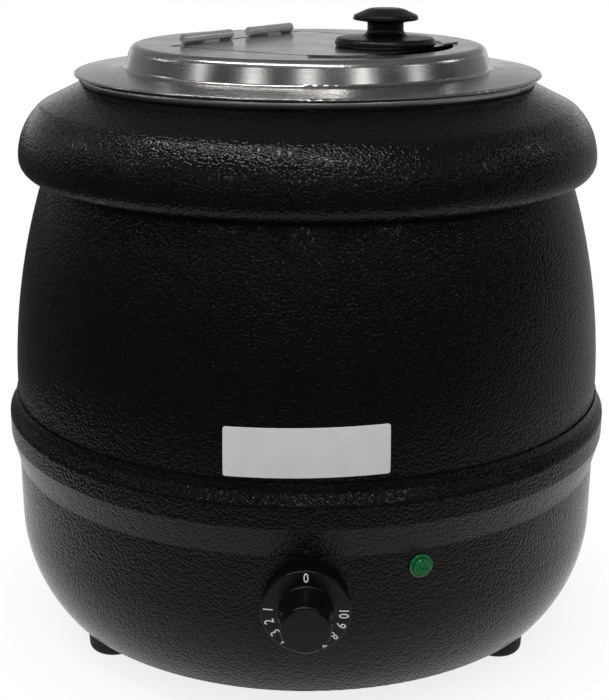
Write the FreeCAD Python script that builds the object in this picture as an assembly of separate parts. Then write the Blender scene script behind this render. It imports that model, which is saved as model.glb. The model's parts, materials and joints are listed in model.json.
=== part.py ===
import FreeCAD, Part
import math
import os
from FreeCAD import Placement, Rotation, Vector

# Soup kettle. Millimetres, +Z up, origin on the kettle's axis at the floor, dial towards -Y.
# The soup pot sets the size: the well, barrel, bowl, collar and lid follow from it.

# Soup pot
POT_R = 119.2
POT_H = 225.9
POT_T = 0.8
POT_CORNER_R = 16.0
RIM_D = 5.4

# Fits
FIT = 0.1
RUNNING_FIT = 0.05

# Base heights
FOOT_H = 15.0
PLATE_T = 1.0
BASE_SPACE = 50.0
WATER_DEPTH = 18.0

# Water well
WATER_GAP = 6.8
WELL_T = 1.0
WELL_CORNER_R = 12.0
WELL_FLANGE_W = 13.0
WELL_MOUTH_R = 2.5

# Jacket and bowl sheet
SHEET_T = 0.8
NECK_GAP = 15.0
LEDGE_W = 2.7
DECK_DROP = 16.4
DECK_LAP = 9.0
BARREL_ARC_R = 372.0
BARREL_FOOT_W = 3.5
JACKET_BEND_R = 1.2
ARC_SHARE = 0.99
BOWL_PROUD = 1.0
BOWL_H = 121.0
BOWL_TUCK = 16.4
BOWL_TURN_H = 22.3
BOWL_FLANGE_W = 11.5
BOWL_FOOT_R = 2.0
BEAD_PROUD = 4.0
BEAD_EDGE_H = 10.5
BEAD_NECK_H = 4.5
BEAD_NECK_PROUD = 0.7
BEAD_CROWN_H = 11.5
BEAD_FLARE_H = 16.0
BEAD_BEND_R = 4.0

# Collar
COLLAR_T = 1.5
COLLAR_H = 47.4
COLLAR_PROUD = 13.1
COLLAR_UNDER_R = 9.6
COLLAR_SHOULDER_W = 12.3
COLLAR_SHOULDER_R = 12.0
COLLAR_SLOPE_DEG = 25.8
COLLAR_LIP_R = 1.8
SKIRT_GAP = 1.6
SKIRT_H = 20.0

# Lid
LID_T = 0.8
LID_LIP_GAP = 1.6
LID_LIP_H = 1.0
BRIM_W = 27.0
BRIM_RISE = 1.9
DOME_H = 14.1
DOME_LEAN = 3.6
DOME_SHOULDER_R = 5.0
BRIM_BEND_R = 2.0
BRIM_EDGE_R = 0.9
FLAP_TURN_DEG = -34.3
OPENING_HALF_W = 61.0
OPENING_END_N = 20.0
FLAP_END_N = 67.0
FLAP_KERF = 2.0
FLAP_LAP = 5.0
FLAP_LAP_ROOT = 3.0
FLAP_LAP_START_N = 42.0
HINGE_N = -46.5
HINGE_RISE = 2.9
HINGE_OD = 5.2
HINGE_PIN_D = 2.6
HINGE_HEAD_D = 3.8
HINGE_HEAD_H = 0.8
HINGE_KNUCKLES = (15.2, 13.2, 11.2)
HINGE_GAP = 0.4
HINGE_SPREAD = 29.0
HINGE_LEAF_T = 0.8
HINGE_LEAF_W = 13.0
HINGE_SLOT_FIXED = 1.0
HINGE_SLOT_FLAP = 2.0

# Lid knob
KNOB_N = 44.0
KNOB_SIDE = 8.0
KNOB_DISH_D = 53.4
KNOB_DISH_H = 4.6
KNOB_DISH_RISE = 1.0
KNOB_DISH_UNDER_R = 1.8
KNOB_DISH_EDGE_R = 2.7
KNOB_STEM_D = 19.2
KNOB_ROOT_R = 4.0
KNOB_NECK_R = 1.0
KNOB_CAP_D = 35.4
KNOB_CAP_H = 7.2
KNOB_CAP_LIFT = 1.2
KNOB_CAP_EDGE_H = 2.4
KNOB_CAP_LEAN = 1.0
KNOB_CAP_EDGE_R = 1.1
KNOB_CAP_TOP_D = 17.0
KNOB_CAP_TOP_R = 12.0
KNOB_H = 19.8
KNOB_SCREW_D = 5.0
KNOB_SCREW_DEPTH = 13.0
KNOB_SCREW_SPARE = 1.0
KNOB_SCREW_HEAD_D = 9.0
KNOB_SCREW_HEAD_H = 3.0
WASHER_D = 15.0
WASHER_T = 1.0

# Dial and thermostat
DIAL_H = 58.0
DIAL_D = 43.6
DIAL_SKIRT_H = 8.0
DIAL_WALL = 2.2
DIAL_BACK_GAP = 0.8
DIAL_DEPTH = 26.0
GRIP_D = 27.0
GRIP_TIP_D = 24.4
GRIP_FLUTES = 4
GRIP_ROOT_R = 1.0
GRIP_TIP_R = 1.2
DIAL_EDGE_R = 0.8
FLUTE_R = 8.0
FLUTE_CUT = 1.4
HUB_D = 11.0
SHAFT_D = 6.0
SHAFT_CAP = 6.0
BUSH_D = 10.0
BUSH_OUT = 3.0
THERMOSTAT_W = 36.0
THERMOSTAT_H = 30.0
THERMOSTAT_D = 24.0
THERMOSTAT_SEAT = 0.5
THERMOSTAT_EDGE_R = 2.0
THERMOSTAT_SCREW_PITCH = 28.0
M4_D = 4.0
M4_HEAD_D = 7.6
M4_HEAD_H = 2.4
M4_NUT = 7.0
M4_NUT_H = 3.2
BULB_D = 6.0
BULB_LENGTH = 80.0
BULB_OFFSET = 23.0
CAPILLARY_D = 2.0
CAPILLARY_LOOP = 20.0
CAPILLARY_BEND_R = 12.0
CLIP_T = 0.6
CLIP_W = 8.0

# Heating
ELEMENT_R = 75.0
ELEMENT_D = 8.0
ELEMENT_LEG_SPREAD = 26.0
ELEMENT_LEG_H = 24.0
ELEMENT_BEND_R = 10.0
CLAMP_W = 16.0
CLAMP_T = 2.5
STUD_D = 6.0
NUT_H = 5.0
STUD_NUT = 10.0
STUD_SPARE = 1.0
SHIELD_R = 90.0
SHIELD_T = 0.8
SHIELD_RIM_H = 7.0
SHIELD_BEND_R = 3.0
SHIELD_HOLE_GAP = 1.0
CUTOUT_Y = 38.0
CUTOUT_D = 16.0
CUTOUT_FLANGE_D = 20.0
CUTOUT_FLANGE_T = 2.0
CUTOUT_H = 12.0
CUTOUT_TAB_H = 7.0
CUTOUT_TAB_T = 0.8
CUTOUT_TAB_W = 6.0
STRAP_T = 0.8

# Indicator lamp
LAMP_AZ_DEG = 19.6
LAMP_H = 74.5
LENS_D = 12.2
LENS_FLANGE_T = 1.4
LENS_FLANGE_R = 0.6
LENS_GROOVE_D = 10.4
LENS_GROOVE_H = 0.9
LENS_CROWN_D = 9.2
LENS_CROWN_H = 3.4
LENS_CROWN_R = 1.5
LENS_RIBS = 7
LENS_RIB_PITCH = 1.15
LENS_RIB_R = 0.5
LENS_RIB_TURN_DEG = 40.0
LAMP_STEM_D = 9.2
LAMP_STEM_L = 6.0
LAMP_BODY_L = 20.0
LAMP_CLIP_D = 16.0

# Base
FOOT_INSET = 18.9
FOOT_SPREAD_DEG = 35.2
FOOT_TOP_D = 29.0
FOOT_BOTTOM_D = 27.4
FOOT_EDGE_R = 4.0
FOOT_POCKET_D = 10.4
FOOT_WEB_H = 6.0
PLATE_INSET = 2.5
PLATE_SCREWS = 4
PLATE_SCREW_D = 3.4
PLATE_SCREW_HEAD_D = 6.8
PLATE_SCREW_HEAD_H = 2.0
PLATE_SCREW_L = 7.0
VENT_SLOTS = 12
VENT_R = 66.0
VENT_L = 30.0
VENT_W = 5.0

# Cord entry
GLAND_AZ_DEG = 180.0
GLAND_H = 64.0
GLAND_THREAD_D = 16.0
GLAND_HEX = 22.0
GLAND_FLANGE_H = 5.0
GLAND_INNER_L = 14.0
GLAND_CAP_L = 21.0
GLAND_CAP_HEX = 20.0
GLAND_CAP_R = 4.0
GLAND_SEAL_INSET = 1.0
GLAND_SEAL_D = 10.8
GLAND_HOLE_D = 7.2

# Wiring
BLOCK_INSET = 49.5
BLOCK_SIZE = (42.0, 18.0, 14.0)
BLOCK_PITCH = 13.0
BLOCK_WIRE_H = 5.0
TERMINAL_SCREW_D = 3.0
TERMINAL_HEAD_D = 5.6
TERMINAL_HEAD_H = 1.8
TERMINAL_INSET = 1.0
TERMINAL_WIRE_IN = 4.0
EARTH_X = 52.0
EARTH_Y = 66.0
EARTH_STUD_D = 5.0
EARTH_NUT = 9.6
EARTH_TAG_D = 12.0
EARTH_TAG_T = 1.0
WIRE_D = 2.4
WIRE_BEND_R = 6.0

# Levels, from the floor up
plate_z = FOOT_H
floor_z = plate_z + PLATE_T
well_z = floor_z + BASE_SPACE
pot_z = well_z + WELL_T + WATER_DEPTH
rim_z = pot_z + POT_H
crest_z = rim_z - RIM_D - FIT
ledge_z = crest_z - COLLAR_H
deck_z = crest_z - DECK_DROP
bead_top_z = floor_z + BOWL_H
bead_high_z = bead_top_z - BEAD_EDGE_H
bead_low_z = bead_high_z - BEAD_CROWN_H
flare_z = bead_low_z - BEAD_FLARE_H
dial_z = floor_z + DIAL_H
lamp_z = floor_z + LAMP_H
gland_z = floor_z + GLAND_H

# Radii, from the pot outwards
rim_r = POT_R - POT_T + RIM_D
skirt_r = POT_R + SKIRT_GAP
well_r = POT_R + WATER_GAP
well_out_r = well_r + WELL_T
neck_r = well_out_r + NECK_GAP
shoulder_r = neck_r + LEDGE_W
barrel_sweep = math.asin((ledge_z - bead_top_z) / BARREL_ARC_R)
barrel_r = shoulder_r + BARREL_ARC_R * (1 - math.cos(barrel_sweep))
body_r = barrel_r + BOWL_PROUD
bead_r = body_r + BEAD_PROUD
bowl_foot_r = body_r - BOWL_TUCK
block_y = bowl_foot_r - BLOCK_INSET
collar_r = shoulder_r + COLLAR_PROUD

# Lid levels
lid_r = rim_r + LID_LIP_GAP + LID_T
dome_r = lid_r - BRIM_W
brim_slope = BRIM_RISE / BRIM_W
brim_z = rim_z + FIT + LID_T - brim_slope * (lid_r - rim_r + RIM_D / 2)
lid_z = brim_z + DOME_H
hinge_z = lid_z + HINGE_RISE

# Under the well
element_z = well_z - ELEMENT_D / 2 - FIT
clamp_z = element_z - ELEMENT_D / 2 - FIT
shield_z = clamp_z - CLAMP_T - NUT_H - SHIELD_T
stud_end_z = shield_z - NUT_H
bulb_z = well_z - BULB_D / 2 - FIT
bulb_y = -(ELEMENT_R + BULB_OFFSET)

Z_AXIS = Vector(0, 0, 1)


# Outline tools
def rounded_edges(corners):
    """Edges of an open outline through corners (point, bend radius), with tangent arcs."""
    edges = []
    here = corners[0][0]
    for index in range(1, len(corners) - 1):
        corner, radius = corners[index]
        if radius <= 0:
            edges.append(Part.makeLine(here, corner))
            here = corner
            continue
        back = (corners[index - 1][0] - corner).normalize()
        ahead = (corners[index + 1][0] - corner).normalize()
        half = back.getAngle(ahead) / 2
        reach = radius / math.tan(half)
        inward = (back + ahead).normalize()
        start = corner + back * reach
        middle = corner + inward * (radius / math.sin(half) - radius)
        end = corner + ahead * reach
        if (start - here).Length > 1e-6:
            edges.append(Part.makeLine(here, start))
        edges.append(Part.Arc(start, middle, end).toShape())
        here = end
    edges.append(Part.makeLine(here, corners[-1][0]))
    return edges


def at(radius, height, bend=0.0):
    """One corner of an outline in the half plane that is turned about Z."""
    return Vector(radius, 0, height), bend


def left_of(here, there):
    """Unit vector to the left of a run in that half plane."""
    run = (there - here).normalize()
    return Vector(-run.z, 0, run.x)


def moved_left(corners, distance):
    """The same outline moved to its left, with its bends kept concentric."""
    moved = []
    for index, (corner, bend) in enumerate(corners):
        before = left_of(corners[max(index - 1, 0)][0], corners[max(index, 1)][0])
        last = len(corners) - 1
        after = left_of(corners[min(index, last - 1)][0], corners[min(index + 1, last)][0])
        mitre = (before + after) / (1 + before.dot(after))
        turns_left = before.x * after.z - before.z * after.x > 0
        inner = bend - distance if turns_left else bend + distance
        moved.append((corner + mitre * distance, max(inner, 0.0) if bend > 0 else 0.0))
    return moved


def closed_face(edges):
    return Part.Face(Part.Wire(Part.__sortEdges__(edges)))


def turned(edges):
    """Solid made by turning a closed outline about Z."""
    return closed_face(edges).revolve(Vector(), Z_AXIS, 360)


def sheet(corners, thickness):
    """Spun sheet: an open outline, thickened to its left and turned about Z."""
    other = moved_left(corners, thickness)
    edges = rounded_edges(corners) + rounded_edges(other)
    for end in (0, -1):
        if (corners[end][0] - other[end][0]).Length > 1e-6:
            edges.append(Part.makeLine(corners[end][0], other[end][0]))
    return turned(edges)


def lathe(corners):
    """Solid turned about Z from an outline that starts and ends on the axis."""
    edges = rounded_edges(corners)
    edges.append(Part.makeLine(corners[-1][0], corners[0][0]))
    return turned(edges)


def disc(radius, low, high, x=0.0, y=0.0):
    return Part.makeCylinder(radius, high - low, Vector(x, y, low))


def ring(outer, inner, low, high, x=0.0, y=0.0):
    return disc(outer, low, high, x, y).cut(disc(inner, low, high, x, y))


def block(x0, x1, y0, y1, z0, z1):
    return Part.makeBox(x1 - x0, y1 - y0, z1 - z0, Vector(x0, y0, z0))


def hexagon(across_flats, low, high, x=0.0, y=0.0):
    corner = across_flats / math.sqrt(3)
    points = []
    for step in range(7):
        angle = math.radians(60 * step)
        points.append(Vector(x + corner * math.cos(angle), y + corner * math.sin(angle), low))
    return Part.Face(Part.makePolygon(points)).extrude(Vector(0, 0, high - low))


def placed(shape, placement):
    moved = shape.copy()
    moved.Placement = placement.multiply(shape.Placement)
    return moved


def radial(shape, azimuth, radius, height):
    """Turn a shape made about Z so that it points out of the wall at this azimuth from the front."""
    outward = Placement(Vector(0, -radius, height), Rotation(Vector(1, 0, 0), 90))
    around = Placement(Vector(), Rotation(Z_AXIS, azimuth))
    return placed(shape, around.multiply(outward))


def lid_frame(shape):
    """From the flap's own frame, with X towards its free end, to the kettle's."""
    return placed(shape, Placement(Vector(), Rotation(Z_AXIS, FLAP_TURN_DEG)))


def tube(points, bend_radius, diameter):
    """Round bar along straight runs joined by tangent arcs."""
    corners = [(point, bend_radius) for point in points]
    path = Part.Wire(rounded_edges(corners))
    return swept(path, points[0], points[1] - points[0], diameter)


def swept(path, start, direction, diameter):
    circle = Part.Wire(Part.Circle(start, direction, diameter / 2).toShape())
    shell = Part.BRepOffsetAPI.MakePipeShell(path)
    shell.add(circle)
    shell.build()
    shell.makeSolid()
    return shell.shape()


def joined(shapes):
    whole = shapes[0].fuse(shapes[1:])
    return whole.removeSplitter()


def sagitta(radius, half_width):
    """How far a wall of this radius falls away across half a width."""
    return radius - math.sqrt(radius ** 2 - half_width ** 2)


# Body shells
def base_bowl():
    edge_r = barrel_r + FIT + SHEET_T
    neck_z = bead_top_z - BEAD_NECK_H
    turn_z = floor_z + BOWL_TURN_H
    lean = math.atan2(BOWL_TUCK, BOWL_TURN_H)
    foot_reach = BOWL_FOOT_R * math.tan((math.pi / 2 - lean) / 2)
    run = math.hypot(BOWL_TUCK, BOWL_TURN_H)
    curve_r = (run - foot_reach - FIT) / math.tan(lean / 2)
    shell = sheet([
        at(bowl_foot_r - BOWL_FLANGE_W, floor_z),
        at(bowl_foot_r, floor_z, BOWL_FOOT_R),
        at(body_r, turn_z, curve_r),
        at(body_r, flare_z, BEAD_BEND_R),
        at(bead_r, bead_low_z, BEAD_BEND_R),
        at(bead_r, bead_high_z, BEAD_BEND_R),
        at(edge_r + BEAD_NECK_PROUD, neck_z, BEAD_BEND_R),
        at(edge_r, bead_top_z),
    ], SHEET_T)
    depth = 4 * SHEET_T
    holes = [radial(disc(BUSH_D / 2 + 2 * FIT, -depth, depth), 0, body_r, dial_z)]
    for side in (-1, 1):
        hole = disc(M4_D / 2 + 2 * FIT, -depth, depth, side * THERMOSTAT_SCREW_PITCH / 2)
        holes.append(radial(hole, 0, body_r, dial_z))
    holes.append(radial(disc(LAMP_STEM_D / 2 + FIT, -depth, depth), LAMP_AZ_DEG, body_r, lamp_z))
    holes.append(radial(disc(GLAND_THREAD_D / 2 + FIT, -depth, depth), GLAND_AZ_DEG, body_r, gland_z))
    for x, y in plate_screw_places():
        holes.append(disc(PLATE_SCREW_D / 2 + RUNNING_FIT, floor_z - depth, floor_z + depth, x, y))
    return shell.cut(holes)


def outer_jacket():
    foot_z = bead_low_z + SHEET_T
    arc_corner_z = bead_top_z + BARREL_ARC_R * math.tan(barrel_sweep / 2)
    return sheet([
        at(barrel_r + BARREL_FOOT_W, foot_z),
        at(barrel_r, foot_z, JACKET_BEND_R),
        at(barrel_r, arc_corner_z, ARC_SHARE * BARREL_ARC_R),
        at(shoulder_r, ledge_z),
        at(neck_r, ledge_z),
        at(neck_r, deck_z, JACKET_BEND_R),
        at(neck_r - JACKET_BEND_R - DECK_LAP, deck_z),
    ], SHEET_T)


def top_collar():
    slope = math.radians(COLLAR_SLOPE_DEG)
    lip_z = crest_z + COLLAR_LIP_R * ((1 + math.sin(slope)) / math.cos(slope) - 1)
    shoulder_in_r = collar_r - COLLAR_SHOULDER_W
    shoulder_top_z = lip_z - (shoulder_in_r - skirt_r) * math.tan(slope)
    side_top_z = shoulder_top_z - COLLAR_SHOULDER_W
    shoulder_reach = COLLAR_SHOULDER_R * math.tan((math.pi / 4 - slope) / 2)
    side_reach = min(COLLAR_SHOULDER_W * math.sqrt(2) - shoulder_reach,
                     side_top_z - ledge_z - COLLAR_UNDER_R) - FIT
    side_r = side_reach / math.tan(math.pi / 8)
    return sheet([
        at(neck_r + 2 * FIT, ledge_z),
        at(collar_r, ledge_z, COLLAR_UNDER_R),
        at(collar_r, side_top_z, side_r),
        at(shoulder_in_r, shoulder_top_z, COLLAR_SHOULDER_R),
        at(skirt_r, lip_z, COLLAR_LIP_R),
        at(skirt_r, crest_z - SKIRT_H),
    ], COLLAR_T)


def water_well():
    return sheet([
        at(well_r + WELL_FLANGE_W, deck_z + WELL_T),
        at(well_r, deck_z + WELL_T, WELL_MOUTH_R),
        at(well_r, well_z + WELL_T, WELL_CORNER_R),
        at(0, well_z + WELL_T),
    ], WELL_T)


def soup_pot():
    inner_r = POT_R - POT_T
    rim_mid_z = rim_z - RIM_D / 2
    shell = sheet([
        at(inner_r, rim_mid_z),
        at(inner_r, pot_z + POT_T, POT_CORNER_R),
        at(0, pot_z + POT_T),
    ], POT_T)
    rim = Part.makeTorus(rim_r - RIM_D / 2, RIM_D / 2, Vector(0, 0, rim_mid_z))
    return joined([shell, rim])


# Lid
def opening_outline(inset, hinge_n):
    """Face of the U-shaped opening in the flap's frame, drawn in by an inset."""
    half = OPENING_HALF_W - inset
    corners = [
        Vector(OPENING_END_N, -half, 0),
        Vector(OPENING_END_N + half, 0, 0),
        Vector(OPENING_END_N, half, 0),
        Vector(hinge_n, half, 0),
        Vector(hinge_n, -half, 0),
    ]
    edges = [Part.Arc(corners[0], corners[1], corners[2]).toShape()]
    edges.append(Part.makeLine(corners[2], corners[3]))
    edges.append(Part.makeLine(corners[3], corners[4]))
    edges.append(Part.makeLine(corners[4], corners[0]))
    return closed_face(edges)


def lid_shell():
    shell = sheet([
        at(lid_r, brim_z - LID_LIP_H),
        at(lid_r, brim_z, BRIM_EDGE_R),
        at(dome_r, brim_z + BRIM_RISE, BRIM_BEND_R),
        at(dome_r - DOME_LEAN, lid_z, DOME_SHOULDER_R),
        at(0, lid_z),
    ], LID_T)
    opening = opening_outline(0, HINGE_N - HINGE_SLOT_FIXED)
    opening.translate(Vector(0, 0, lid_z - 2 * LID_T))
    return shell.cut(lid_frame(opening.extrude(Vector(0, 0, 3 * LID_T))))


def lid_flap():
    outline = opening_outline(FLAP_KERF, HINGE_N + HINGE_SLOT_FLAP)
    outline.translate(Vector(0, 0, lid_z - LID_T))
    plate = outline.extrude(Vector(0, 0, LID_T))
    reach = 2 * OPENING_HALF_W
    top_z = lid_z + FIT + LID_T
    beyond = block(FLAP_END_N, 2 * reach, -reach, reach, lid_z - 2 * LID_T, top_z + LID_T)
    before = block(-reach, FLAP_LAP_START_N, -reach, reach, lid_z - 2 * LID_T, top_z + LID_T)
    root_r = OPENING_HALF_W - FLAP_KERF - FLAP_LAP_ROOT
    root = ring(OPENING_HALF_W - FLAP_KERF, root_r, lid_z - LID_T, top_z, OPENING_END_N)
    lap = ring(OPENING_HALF_W + FLAP_LAP, root_r, lid_z + FIT, top_z, OPENING_END_N)
    laps = root.fuse(lap).cut(before)
    hole = disc(KNOB_SCREW_D / 2 + 2 * FIT, lid_z - 2 * LID_T, top_z, KNOB_N, KNOB_SIDE)
    return lid_frame(joined([plate, laps]).cut([beyond, hole]))


def knuckle_spans(side):
    """Start and end along the hinge line of each knuckle of one hinge."""
    length = sum(HINGE_KNUCKLES) + HINGE_GAP * (len(HINGE_KNUCKLES) - 1)
    start = side * HINGE_SPREAD - length / 2
    spans = []
    for knuckle in HINGE_KNUCKLES:
        spans.append((start, start + knuckle))
        start += knuckle + HINGE_GAP
    return spans


def along_hinge(radius, start, end):
    return Part.makeCylinder(radius, end - start, Vector(HINGE_N, start, hinge_z), Vector(0, 1, 0))


def hinge_leaf(side, knuckles, riser_n, leaf_sign):
    """One leaf under the sheet, with its knuckles rolled up through the slot onto the pin."""
    spans = [knuckle_spans(side)[index] for index in knuckles]
    under_z = lid_z - LID_T
    low_z = under_z - HINGE_LEAF_T
    near = HINGE_N + riser_n
    far = near + leaf_sign * HINGE_LEAF_W
    first = spans[0][0]
    last = spans[-1][1]
    pieces = [block(min(near, far), max(near, far), first, last, low_z, under_z)]
    riser = sorted((near, near + leaf_sign * HINGE_LEAF_T))
    for start, end in spans:
        pieces.append(block(riser[0], riser[1], start, end, low_z, hinge_z - HINGE_PIN_D / 2 - FIT))
        pieces.append(along_hinge(HINGE_OD / 2, start, end))
    bore = along_hinge(HINGE_PIN_D / 2 + RUNNING_FIT, first - 1, last + 1)
    return lid_frame(joined(pieces).cut(bore))


def hinge_fixed_leaves():
    return [hinge_leaf(side, (0, 2), 0.0, -1) for side in (-1, 1)]


def hinge_flap_leaves():
    return [hinge_leaf(side, (1,), HINGE_SLOT_FIXED, 1) for side in (-1, 1)]


def hinge_pins():
    pins = []
    head_r = HINGE_HEAD_D / 2
    for side in (-1, 1):
        spans = knuckle_spans(side)
        start = spans[0][0] - HINGE_GAP
        end = spans[-1][1] + HINGE_GAP
        shank = along_hinge(HINGE_PIN_D / 2, start, end)
        near_head = along_hinge(head_r, start - HINGE_HEAD_H, start)
        far_head = along_hinge(head_r, end, end + HINGE_HEAD_H)
        pins.append(lid_frame(joined([shank, near_head, far_head])))
    return pins


def lid_knob():
    dish_r = KNOB_DISH_D / 2
    stem_r = KNOB_STEM_D / 2
    cap_r = KNOB_CAP_D / 2
    cap_z = KNOB_H - KNOB_CAP_H
    edge_z = cap_z + KNOB_CAP_LIFT
    knob = lathe([
        at(0, 0),
        at(dish_r, 0, KNOB_DISH_UNDER_R),
        at(dish_r, KNOB_DISH_H, KNOB_DISH_EDGE_R),
        at(stem_r, KNOB_DISH_H + KNOB_DISH_RISE, KNOB_ROOT_R),
        at(stem_r, cap_z, KNOB_NECK_R),
        at(cap_r, edge_z, KNOB_CAP_EDGE_R),
        at(cap_r - KNOB_CAP_LEAN, edge_z + KNOB_CAP_EDGE_H, KNOB_CAP_EDGE_R),
        at(KNOB_CAP_TOP_D / 2, KNOB_H, KNOB_CAP_TOP_R),
        at(0, KNOB_H),
    ])
    knob = knob.cut(disc(KNOB_SCREW_D / 2 + FIT, 0, KNOB_SCREW_DEPTH))
    knob.translate(Vector(KNOB_N, KNOB_SIDE, lid_z))
    return lid_frame(knob)


def knob_washer():
    top = lid_z - LID_T
    return lid_frame(ring(WASHER_D / 2, KNOB_SCREW_D / 2 + FIT, top - WASHER_T, top, KNOB_N, KNOB_SIDE))


def knob_screw():
    seat = lid_z - LID_T - WASHER_T
    head = disc(KNOB_SCREW_HEAD_D / 2, seat - KNOB_SCREW_HEAD_H, seat, KNOB_N, KNOB_SIDE)
    tip = lid_z + KNOB_SCREW_DEPTH - KNOB_SCREW_SPARE
    shank = disc(KNOB_SCREW_D / 2, seat, tip, KNOB_N, KNOB_SIDE)
    return lid_frame(joined([head, shank]))


# Dial and thermostat, made about Z with the wall's outer face at zero
def at_dial(shape):
    return radial(shape, 0, body_r, dial_z)


def thermostat_front():
    return -(SHEET_T + THERMOSTAT_SEAT + sagitta(body_r, THERMOSTAT_W / 2))


def dial_knob():
    skirt_r_out = DIAL_D / 2
    grip_r = GRIP_D / 2
    tip_r = GRIP_TIP_D / 2
    solid = lathe([
        at(0, DIAL_BACK_GAP),
        at(skirt_r_out, DIAL_BACK_GAP),
        at(skirt_r_out, DIAL_SKIRT_H, DIAL_EDGE_R),
        at(grip_r, DIAL_SKIRT_H, GRIP_ROOT_R),
        at(tip_r, DIAL_DEPTH, GRIP_TIP_R),
        at(0, DIAL_DEPTH),
    ])
    hollow = ring(skirt_r_out - DIAL_WALL, HUB_D / 2, 0, DIAL_SKIRT_H - DIAL_WALL)
    hub_end = disc(HUB_D / 2, 0, BUSH_OUT + 2 * FIT)
    bore = disc(SHAFT_D / 2 + RUNNING_FIT, 0, shaft_tip() + FIT)
    solid = solid.cut([hollow, hub_end, bore])
    flutes = []
    lean = math.degrees(math.atan2(grip_r - tip_r + FLUTE_CUT, DIAL_DEPTH - DIAL_SKIRT_H))
    for step in range(GRIP_FLUTES):
        flute = Part.makeCylinder(FLUTE_R, 2 * DIAL_DEPTH, Vector(0, 0, -DIAL_DEPTH))
        tip = Vector(0, tip_r + FLUTE_R - FLUTE_CUT, DIAL_DEPTH)
        leaned = Placement(tip, Rotation(Vector(1, 0, 0), lean))
        turn = Placement(Vector(), Rotation(Z_AXIS, (step + 0.5) * 360 / GRIP_FLUTES))
        flute = placed(flute, turn.multiply(leaned))
        below = block(-DIAL_D, DIAL_D, -DIAL_D, DIAL_D, -2 * DIAL_D, DIAL_SKIRT_H)
        flutes.append(flute.cut(below))
    return at_dial(solid.cut(flutes))


def shaft_tip():
    return DIAL_DEPTH - SHAFT_CAP


def thermostat_shaft():
    root = thermostat_front() - THERMOSTAT_D / 2 + FIT
    return at_dial(disc(SHAFT_D / 2, root, shaft_tip()))


def thermostat_body():
    front = thermostat_front()
    half_w = THERMOSTAT_W / 2
    half_h = THERMOSTAT_H / 2
    case = block(-half_w, half_w, -half_h, half_h, front - THERMOSTAT_D, front)
    edges = [edge for edge in case.Edges if edge.BoundBox.ZLength > THERMOSTAT_EDGE_R]
    case = case.makeFillet(THERMOSTAT_EDGE_R, edges)
    bush = disc(BUSH_D / 2, front, BUSH_OUT)
    bore = disc(SHAFT_D / 2 + RUNNING_FIT, front - THERMOSTAT_D / 2, BUSH_OUT)
    holes = [bore]
    for side in (-1, 1):
        x = side * THERMOSTAT_SCREW_PITCH / 2
        holes.append(disc(M4_D / 2 + RUNNING_FIT, front - THERMOSTAT_D / 2, front, x))
    return at_dial(joined([case, bush]).cut(holes))


def thermostat_screws():
    half = THERMOSTAT_SCREW_PITCH / 2
    head_r = M4_HEAD_D / 2
    seat = -sagitta(body_r, half - head_r) + RUNNING_FIT
    screws = []
    for side in (-1, 1):
        shank = disc(M4_D / 2, thermostat_front() - THERMOSTAT_D / 3, seat, side * half)
        head = disc(head_r, seat, seat + M4_HEAD_H, side * half)
        screws.append(at_dial(joined([shank, head])))
    return screws


def thermostat_bulb():
    """Sensing bulb under the well, with its capillary led round to the thermostat's side."""
    start_x = -BULB_LENGTH / 2
    bulb = Part.makeCylinder(BULB_D / 2, BULB_LENGTH, Vector(start_x, bulb_y, bulb_z), Vector(1, 0, 0))
    side_x = -THERMOSTAT_W / 2 - FIT
    side_y = -(body_r + thermostat_front() - THERMOSTAT_D / 2)
    far_x = start_x - CAPILLARY_LOOP
    points = [
        Vector(start_x, bulb_y, bulb_z),
        Vector(far_x, bulb_y, bulb_z),
        Vector(far_x, side_y, bulb_z),
        Vector(side_x, side_y, bulb_z),
    ]
    return joined([bulb, tube(points, CAPILLARY_BEND_R, CAPILLARY_D)])


def bulb_clips():
    clips = []
    inner = BULB_D / 2 + RUNNING_FIT
    outer = inner + CLIP_T
    for x in (-BULB_LENGTH / 4, BULB_LENGTH / 4):
        low = x - CLIP_W / 2
        high = x + CLIP_W / 2
        axis = Vector(1, 0, 0)
        start = Vector(low, bulb_y, bulb_z)
        strap = Part.makeCylinder(outer, CLIP_W, start, axis)
        legs = block(low, high, bulb_y - outer, bulb_y + outer, bulb_z, well_z)
        feet = block(low, high, bulb_y - 2 * outer, bulb_y + 2 * outer, well_z - CLIP_T, well_z)
        space = block(low, high, bulb_y - inner, bulb_y + inner, bulb_z, well_z + outer)
        strap = joined([strap, legs, feet]).cut([Part.makeCylinder(inner, CLIP_W, start, axis), space])
        clips.append(strap)
    return clips


# Heating
def element_leg_angle():
    return math.asin(ELEMENT_LEG_SPREAD / 2 / ELEMENT_R)


def heating_element():
    """Open ring under the well with both cold ends turned down at the back."""
    gap = element_leg_angle() + ELEMENT_BEND_R / ELEMENT_R
    first = math.pi / 2 + gap
    last = math.pi / 2 - gap + 2 * math.pi

    def on_ring(angle):
        return Vector(ELEMENT_R * math.cos(angle), ELEMENT_R * math.sin(angle), element_z)

    def leg(angle, sense):
        along = Vector(-math.sin(angle), math.cos(angle), 0) * sense
        start = on_ring(angle)
        down = Vector(0, 0, -1)
        centre = start + down * ELEMENT_BEND_R
        middle = centre + (along - down) * (ELEMENT_BEND_R / math.sqrt(2))
        end = centre + along * ELEMENT_BEND_R
        foot = Vector(end.x, end.y, element_z - ELEMENT_LEG_H)
        return start, Part.Arc(start, middle, end).toShape(), Part.makeLine(end, foot), foot

    start_a, bend_a, drop_a, foot_a = leg(first, -1)
    start_b, bend_b, drop_b, foot_b = leg(last, 1)
    circle = Part.Arc(start_a, on_ring((first + last) / 2), start_b).toShape()
    path = Part.Wire(Part.__sortEdges__([drop_a, bend_a, circle, bend_b, drop_b]))
    return swept(path, foot_a, Z_AXIS, ELEMENT_D)


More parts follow.
